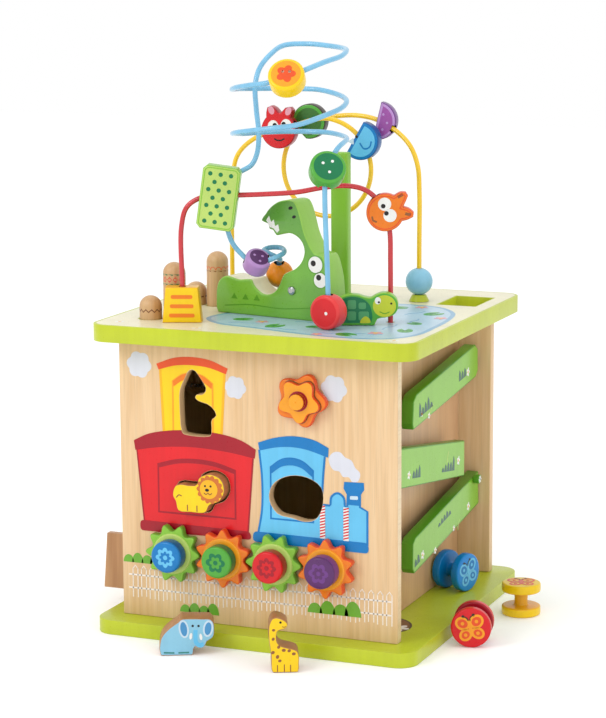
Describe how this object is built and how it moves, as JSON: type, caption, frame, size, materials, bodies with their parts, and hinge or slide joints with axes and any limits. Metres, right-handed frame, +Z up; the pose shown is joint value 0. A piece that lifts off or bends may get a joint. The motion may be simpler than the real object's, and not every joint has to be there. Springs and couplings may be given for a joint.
{
  "type": "activity cube",
  "caption": "Wooden toddler activity cube: gear train and shape holes in front, roller run at the side, pop-up pegs, crocodile and wire bead maze on top.",
  "frame": {"origin": "centre of the base board's underside", "axes": "+Z up along the height, -Y towards the gear train front, +X towards the roller run"},
  "size_m": [0.451, 0.4094, 0.6026],
  "materials": {
    "pine": "clear satin lacquer over light straight-grained wood",
    "natural": "bare turned wood",
    "lime": "lime-green paint on wood board",
    "leaf": "leaf-green gloss paint on wood",
    "moss": "dark green gloss paint on wood",
    "orange": "orange gloss paint on wood",
    "red": "red gloss paint on wood",
    "yellow": "yellow gloss paint on wood",
    "blue": "blue gloss paint on wood",
    "sky": "light blue gloss paint on wood",
    "purple": "purple gloss paint on wood",
    "steel": "plain steel",
    "yellow_coat": "yellow plastic coat on steel wire",
    "red_coat": "red plastic coat on steel wire",
    "blue_coat": "light blue plastic coat on steel wire"
  },
  "bodies": {
    "cube": {"base_board": "lime", "top_board": "lime", "front_panel": "pine", "back_panel": "pine", "left_panel": "pine", "ramp_wall": "pine", "upper_ramp": "leaf", "middle_ramp": "leaf", "lower_ramp": "leaf", "ramp_stop": "leaf", "door_pin": "steel", "rocker_pivot_1": "steel", "rocker_pivot_2": "steel", "yellow_wire": "yellow_coat", "red_wire": "red_coat", "blue_wire": "blue_coat", "green_post": "leaf", "wire_foot": "leaf", "crocodile": "moss", "crocodile_rivet": "steel", "turtle": "moss"},
    "gear_set_1": {"gear_1": "leaf", "gear_knob_1": "blue", "gear_axle_1": "natural"},
    "gear_set_2": {"gear_2": "orange", "gear_knob_2": "leaf", "gear_axle_2": "natural"},
    "gear_set_3": {"gear_3": "leaf", "gear_knob_3": "red", "gear_axle_3": "natural"},
    "gear_set_4": {"gear_4": "orange", "gear_knob_4": "purple", "gear_axle_4": "natural"},
    "star": {"star_knob": "orange"},
    "lion": {"lion": "yellow"},
    "elephant": {"elephant": "sky"},
    "giraffe": {"giraffe": "yellow"},
    "peg_1": {"peg_1": "natural"},
    "peg_2": {"peg_2": "natural"},
    "peg_3": {"peg_3": "natural"},
    "peg_4": {"peg_4": "natural"},
    "rocker_1": {"rocker_1": "natural"},
    "rocker_2": {"rocker_2": "natural"},
    "door": {"door": "natural"},
    "blue_roller": {"blue_roller": "blue"},
    "red_roller": {"red_roller": "red"},
    "yellow_roller": {"yellow_roller": "yellow"},
    "red_drum": {"red_drum": "red"},
    "green_drum": {"green_drum": "moss"},
    "yellow_drum": {"yellow_drum": "yellow"},
    "purple_drum": {"purple_drum": "purple"},
    "orange_bead": {"orange_bead": "orange"},
    "blue_ball": {"blue_ball": "sky"},
    "moon_bead": {"moon_bead": "purple"},
    "stripe_block": {"stripe_block": "yellow"},
    "dotted_block": {"dotted_block": "leaf"},
    "fox_bead": {"fox_bead": "orange"},
    "critter_bead": {"critter_bead": "red"},
    "green_bead": {"green_bead": "moss"},
    "bird_bead": {"bird_bead": "blue"}
  },
  "joints": [
    {"name": "gear_turn_1", "type": "hinge", "parent": "cube", "child": "gear_set_1", "pos_m": [-0.0913, -0.15, 0.0875], "axis": [0, -1, 0], "continuous": true},
    {"name": "gear_turn_2", "type": "hinge", "parent": "cube", "child": "gear_set_2", "pos_m": [-0.0353, -0.15, 0.0875], "axis": [0, -1, 0], "continuous": true},
    {"name": "gear_turn_3", "type": "hinge", "parent": "cube", "child": "gear_set_3", "pos_m": [0.0207, -0.15, 0.0875], "axis": [0, -1, 0], "continuous": true},
    {"name": "gear_turn_4", "type": "hinge", "parent": "cube", "child": "gear_set_4", "pos_m": [0.0767, -0.15, 0.0875], "axis": [0, -1, 0], "continuous": true},
    {"name": "star_turn", "type": "hinge", "parent": "cube", "child": "star", "pos_m": [0.0503, -0.15, 0.2567], "axis": [0, -1, 0], "continuous": true},
    {"name": "lion_push", "type": "slide", "parent": "cube", "child": "lion", "axis": [0, -1, 0], "range_m": [-0.028, 0.03]},
    {"name": "elephant_lift", "type": "slide", "parent": "cube", "child": "elephant", "axis": [0, 0, 1], "range_m": [0, 0.088]},
    {"name": "giraffe_lift", "type": "slide", "parent": "cube", "child": "giraffe", "axis": [0, 0, 1], "range_m": [0, 0.15]},
    {"name": "peg_1_travel", "type": "slide", "parent": "cube", "child": "peg_1", "axis": [0, 0, 1], "range_m": [0, 0.0335]},
    {"name": "peg_3_travel", "type": "slide", "parent": "cube", "child": "peg_3", "axis": [0, 0, 1], "range_m": [-0.0335, 0]},
    {"name": "peg_4_travel", "type": "slide", "parent": "cube", "child": "peg_4", "axis": [0, 0, 1], "range_m": [0, 0.0335]},
    {"name": "peg_2_travel", "type": "slide", "parent": "cube", "child": "peg_2", "axis": [0, 0, 1], "range_m": [-0.0335, 0]},
    {"name": "rocker_1_tilt", "type": "hinge", "parent": "cube", "child": "rocker_1", "pos_m": [-0.11615, -0.0669, 0.26955], "axis": [0.9664, -0.2569, 0], "range_deg": [-36.25, 0]},
    {"name": "rocker_2_tilt", "type": "hinge", "parent": "cube", "child": "rocker_2", "pos_m": [-0.1185, -0.05975, 0.24355], "axis": [-0.9808, -0.1951, 0], "range_deg": [-42.63, 0]},
    {"name": "door_swing", "type": "hinge", "parent": "cube", "child": "door", "pos_m": [-0.1491, -0.065, 0.045], "axis": [0, 0, 1], "range_deg": [-90, 0]},
    {"name": "blue_roller_run", "type": "slide", "parent": "cube", "child": "blue_roller", "axis": [0, 1, 0], "range_m": [-0.17, 0.045]},
    {"name": "red_roller_lift", "type": "slide", "parent": "cube", "child": "red_roller", "axis": [0, 0, 1], "range_m": [0, 0.15]},
    {"name": "yellow_roller_lift", "type": "slide", "parent": "cube", "child": "yellow_roller", "axis": [0, 0, 1], "range_m": [0, 0.15]},
    {"name": "red_drum_slide", "type": "slide", "parent": "cube", "child": "red_drum", "axis": [-0.027, 0, 0.9996], "range_m": [0, 0.09]},
    {"name": "green_drum_turn", "type": "hinge", "parent": "cube", "child": "green_drum", "pos_m": [0.06328, -0.11382, 0.48089], "axis": [0.0714, 0.443, 0.8937], "range_deg": [-14, 14]},
    {"name": "yellow_drum_turn", "type": "hinge", "parent": "cube", "child": "yellow_drum", "pos_m": [0.03328, -0.143, 0.57362], "axis": [0.8839, 0.3215, 0.3397], "range_deg": [-30, 30]},
    {"name": "purple_drum_turn", "type": "hinge", "parent": "cube", "child": "purple_drum", "pos_m": [-0.02884, -0.08739, 0.38231], "axis": [0.9739, 0.1469, -0.173], "range_deg": [-6, 6]},
    {"name": "orange_bead_slide", "type": "slide", "parent": "cube", "child": "orange_bead", "axis": [0, 0, 1], "range_m": [-0.006, 0]},
    {"name": "blue_ball_slide", "type": "slide", "parent": "cube", "child": "blue_ball", "axis": [0, 0, 1], "range_m": [0, 0.075]},
    {"name": "moon_bead_slide", "type": "slide", "parent": "cube", "child": "moon_bead", "axis": [0.9413, -0.0793, -0.3281], "range_m": [0, 0.005]},
    {"name": "stripe_block_slide", "type": "slide", "parent": "cube", "child": "stripe_block", "axis": [0, 0, 1], "range_m": [0, 0.05]},
    {"name": "dotted_block_slide", "type": "slide", "parent": "cube", "child": "dotted_block", "axis": [0.9449, 0.3273, 0.0044], "range_m": [0, 0.03]},
    {"name": "fox_bead_turn", "type": "hinge", "parent": "cube", "child": "fox_bead", "pos_m": [0.1032, -0.05773, 0.43512], "axis": [0.3861, 0.1337, -0.9127], "range_deg": [-25, 25]},
    {"name": "critter_slide", "type": "slide", "parent": "cube", "child": "critter_bead", "axis": [0.9666, -0.0493, 0.2515], "range_m": [-0.012, 0.01]},
    {"name": "green_bead_slide", "type": "hinge", "parent": "cube", "child": "green_bead", "pos_m": [-0.0175, 0.085, 0.463], "axis": [0, 1, 0], "range_deg": [-20, 0]},
    {"name": "bird_bead_slide", "type": "hinge", "parent": "cube", "child": "bird_bead", "pos_m": [-0.0175, 0.085, 0.463], "axis": [0, 1, 0], "range_deg": [0, 28]}
  ],
  "couplings": [
    {"joint": "gear_turn_2", "follows": "gear_turn_1", "ratio": -1},
    {"joint": "gear_turn_3", "follows": "gear_turn_1", "ratio": 1},
    {"joint": "gear_turn_4", "follows": "gear_turn_1", "ratio": -1},
    {"joint": "peg_3_travel", "follows": "peg_1_travel", "ratio": -1},
    {"joint": "peg_2_travel", "follows": "peg_4_travel", "ratio": -1},
    {"joint": "rocker_1_tilt", "follows": "peg_1_travel", "rad_per_m": -18.862},
    {"joint": "rocker_2_tilt", "follows": "peg_4_travel", "rad_per_m": -22.182}
  ]
}
